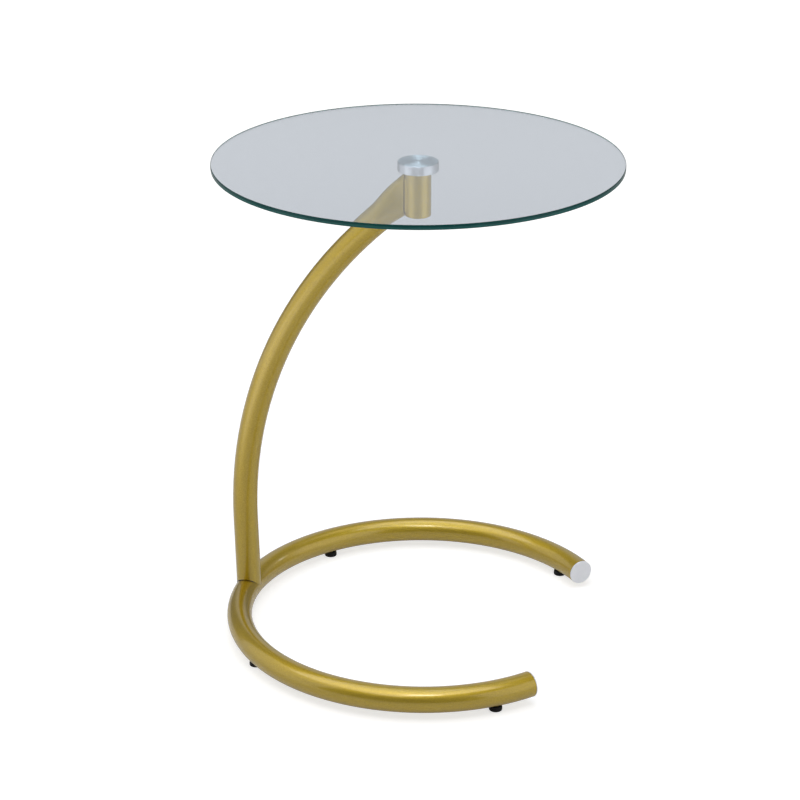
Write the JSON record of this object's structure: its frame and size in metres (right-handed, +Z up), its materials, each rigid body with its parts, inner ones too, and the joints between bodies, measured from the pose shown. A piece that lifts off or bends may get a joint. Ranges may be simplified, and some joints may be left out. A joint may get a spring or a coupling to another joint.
{
  "type": "c shaped side table",
  "caption": "Side table with a round clear glass top on a curved gold tube arm that rises from an open ring base, so that the base slides under a sofa.",
  "frame": {"origin": "on the floor under the axis of the hub, which is the middle of the box that holds the table at its base", "axes": "+Z up, +X from the arm's foot towards the ring's mouth, Y = 0 the plane of symmetry"},
  "size_m": [0.4999, 0.507, 0.63],
  "materials": {
    "gold_paint": "metallic flake gold, satin to gloss",
    "clear_glass": "clear tempered float glass with a polished green edge",
    "clear_bond": "clear cured adhesive",
    "turned_aluminium": "turned, bright",
    "silver_cap": "satin silver",
    "black_plastic": "moulded black",
    "zinc_steel": "bright zinc plated"
  },
  "bodies": {
    "table": {"glass_top": "clear_glass", "glass_bond": "clear_bond", "adapter_disc": "turned_aluminium", "hub_tube": "gold_paint", "hub_top_plate": "zinc_steel", "hub_flat_washer": "zinc_steel", "hub_lock_washer": "zinc_steel", "hub_bolt": "zinc_steel", "hub_bottom_plug": "black_plastic", "hub_weld_left": "gold_paint", "hub_weld_right": "gold_paint", "arm_tube": "gold_paint", "arm_end_plate": "gold_paint", "arm_nut_block": "zinc_steel", "joint_bolt_1": "zinc_steel", "joint_bolt_2": "zinc_steel", "saddle_washer_1": "zinc_steel", "saddle_washer_2": "zinc_steel", "base_ring": "gold_paint", "end_cap_left": "silver_cap", "end_cap_right": "silver_cap", "foot_nut_1": "zinc_steel", "foot_nut_2": "zinc_steel", "foot_nut_3": "zinc_steel", "foot_nut_4": "zinc_steel"},
    "foot_1_pad": {"foot_pad_1": "black_plastic"},
    "foot_1_stud": {"foot_stud_1": "zinc_steel"},
    "foot_2_pad": {"foot_pad_2": "black_plastic"},
    "foot_2_stud": {"foot_stud_2": "zinc_steel"},
    "foot_3_pad": {"foot_pad_3": "black_plastic"},
    "foot_3_stud": {"foot_stud_3": "zinc_steel"},
    "foot_4_pad": {"foot_pad_4": "black_plastic"},
    "foot_4_stud": {"foot_stud_4": "zinc_steel"}
  },
  "joints": [
    {"name": "foot_1_travel", "type": "slide", "parent": "table", "child": "foot_1_pad", "axis": [0, 0, -1], "range_m": [0, 0.0075]},
    {"name": "foot_1_screw", "type": "hinge", "parent": "foot_1_pad", "child": "foot_1_stud", "pos_m": [0.1506, -0.18955, 0], "axis": [0, 0, -1], "range_deg": [0, 2160]},
    {"name": "foot_2_travel", "type": "slide", "parent": "table", "child": "foot_2_pad", "axis": [0, 0, -1], "range_m": [0, 0.0075]},
    {"name": "foot_2_screw", "type": "hinge", "parent": "foot_2_pad", "child": "foot_2_stud", "pos_m": [0.1506, 0.18955, 0], "axis": [0, 0, -1], "range_deg": [0, 2160]},
    {"name": "foot_3_travel", "type": "slide", "parent": "table", "child": "foot_3_pad", "axis": [0, 0, -1], "range_m": [0, 0.0075]},
    {"name": "foot_3_screw", "type": "hinge", "parent": "foot_3_pad", "child": "foot_3_stud", "pos_m": [-0.16676, 0.16137, 0], "axis": [0, 0, -1], "range_deg": [0, 2160]},
    {"name": "foot_4_travel", "type": "slide", "parent": "table", "child": "foot_4_pad", "axis": [0, 0, -1], "range_m": [0, 0.0075]},
    {"name": "foot_4_screw", "type": "hinge", "parent": "foot_4_pad", "child": "foot_4_stud", "pos_m": [-0.16676, -0.16137, 0], "axis": [0, 0, -1], "range_deg": [0, 2160]}
  ],
  "couplings": [
    {"joint": "foot_1_travel", "follows": "foot_1_screw", "m_per_rad": 0.00019894},
    {"joint": "foot_2_travel", "follows": "foot_2_screw", "m_per_rad": 0.00019894},
    {"joint": "foot_3_travel", "follows": "foot_3_screw", "m_per_rad": 0.00019894},
    {"joint": "foot_4_travel", "follows": "foot_4_screw", "m_per_rad": 0.00019894}
  ]
}
